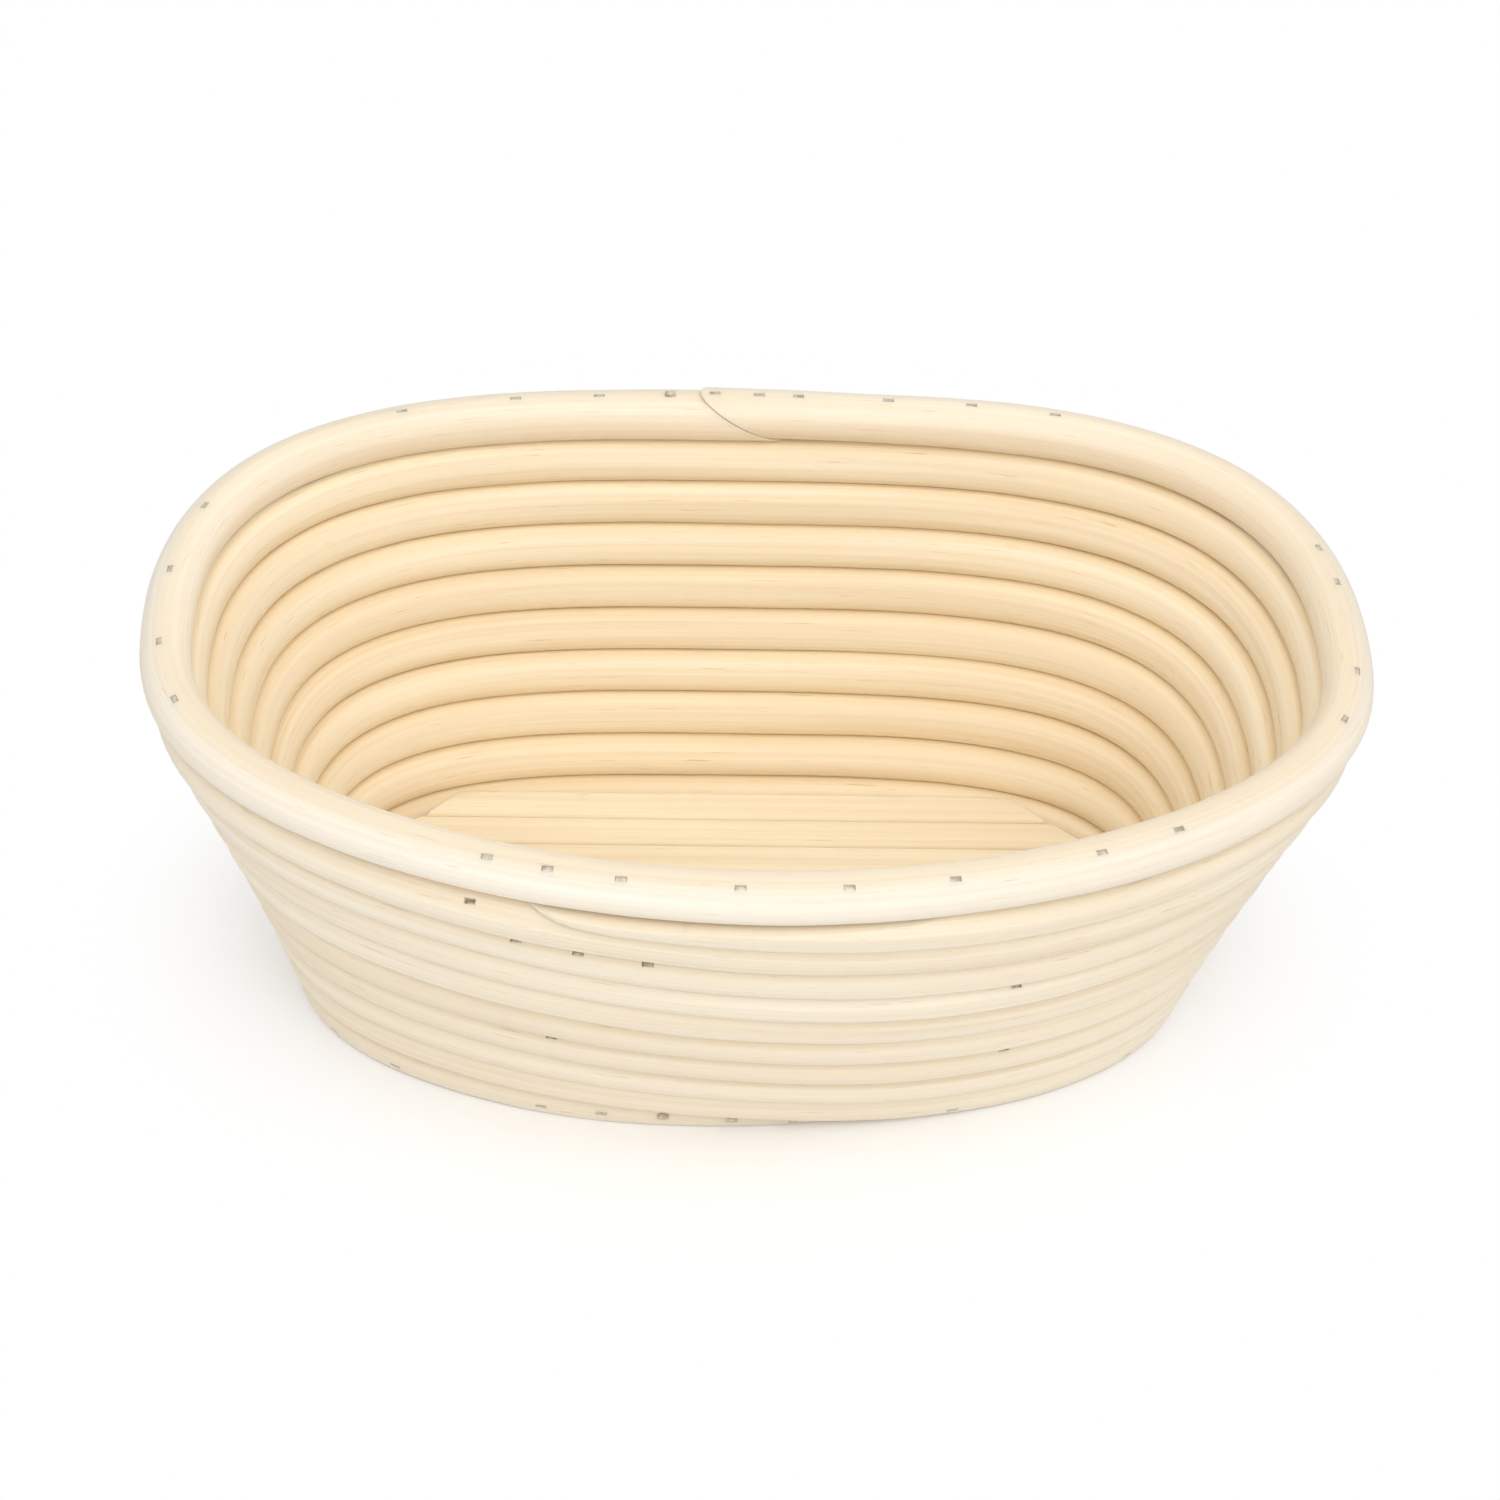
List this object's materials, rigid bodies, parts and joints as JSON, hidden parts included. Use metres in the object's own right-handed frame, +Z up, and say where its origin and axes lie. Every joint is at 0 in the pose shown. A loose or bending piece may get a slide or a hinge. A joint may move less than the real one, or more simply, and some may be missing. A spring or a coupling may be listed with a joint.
{
  "type": "proofing basket",
  "caption": "Oval bread-proofing basket of round rattan cane: a flared wall wound from one cane, a scarfed rim hoop and a floor of flattened canes, held by small brads.",
  "frame": {"origin": "on the table under the middle of the basket's overall box", "axes": "+X along the basket's length, +Y from the rounder front to the flatter back, +Z up out of the open top"},
  "size_m": [0.2282, 0.144, 0.0857],
  "materials": {
    "wall_cane": "bare peeled rattan, satin, fine grain along the cane",
    "rim_cane": "bare peeled rattan, satin, slightly paler",
    "floor_cane": "bare peeled rattan, satin, a little warmer",
    "brad_steel": "dull wire, slightly darkened"
  },
  "bodies": {
    "root": {"wall_winding": "wall_cane", "rim_hoop": "rim_cane", "floor_cane_1": "floor_cane", "floor_cane_2": "floor_cane", "floor_cane_3": "floor_cane", "floor_cane_4": "floor_cane", "floor_cane_5": "floor_cane", "floor_cane_6": "floor_cane", "floor_cane_7": "floor_cane", "floor_cane_8": "floor_cane", "floor_cane_9": "floor_cane", "floor_cane_10": "floor_cane", "rim_brad_1": "brad_steel", "rim_brad_2": "brad_steel", "rim_brad_3": "brad_steel", "rim_brad_4": "brad_steel", "rim_brad_5": "brad_steel", "rim_brad_6": "brad_steel", "rim_brad_7": "brad_steel", "rim_brad_8": "brad_steel", "rim_brad_9": "brad_steel", "rim_brad_10": "brad_steel", "rim_brad_11": "brad_steel", "rim_brad_12": "brad_steel", "rim_brad_13": "brad_steel", "rim_brad_14": "brad_steel", "rim_brad_15": "brad_steel", "rim_brad_16": "brad_steel", "rim_brad_17": "brad_steel", "rim_brad_18": "brad_steel", "rim_brad_19": "brad_steel", "rim_brad_20": "brad_steel", "rim_brad_21": "brad_steel", "rim_brad_22": "brad_steel", "rim_brad_23": "brad_steel", "rim_brad_24": "brad_steel", "rim_brad_25": "brad_steel", "rim_brad_26": "brad_steel", "wall_brad_1": "brad_steel", "wall_brad_2": "brad_steel", "wall_brad_3": "brad_steel", "wall_brad_4": "brad_steel", "wall_brad_5": "brad_steel", "wall_brad_6": "brad_steel", "wall_brad_7": "brad_steel", "floor_brad_1": "brad_steel", "floor_brad_2": "brad_steel", "floor_brad_3": "brad_steel", "floor_brad_4": "brad_steel", "floor_brad_5": "brad_steel", "floor_brad_6": "brad_steel", "floor_brad_7": "brad_steel", "floor_brad_8": "brad_steel", "floor_brad_9": "brad_steel", "floor_brad_10": "brad_steel", "floor_brad_11": "brad_steel", "floor_brad_12": "brad_steel", "floor_brad_13": "brad_steel"}
  },
  "joints": []
}
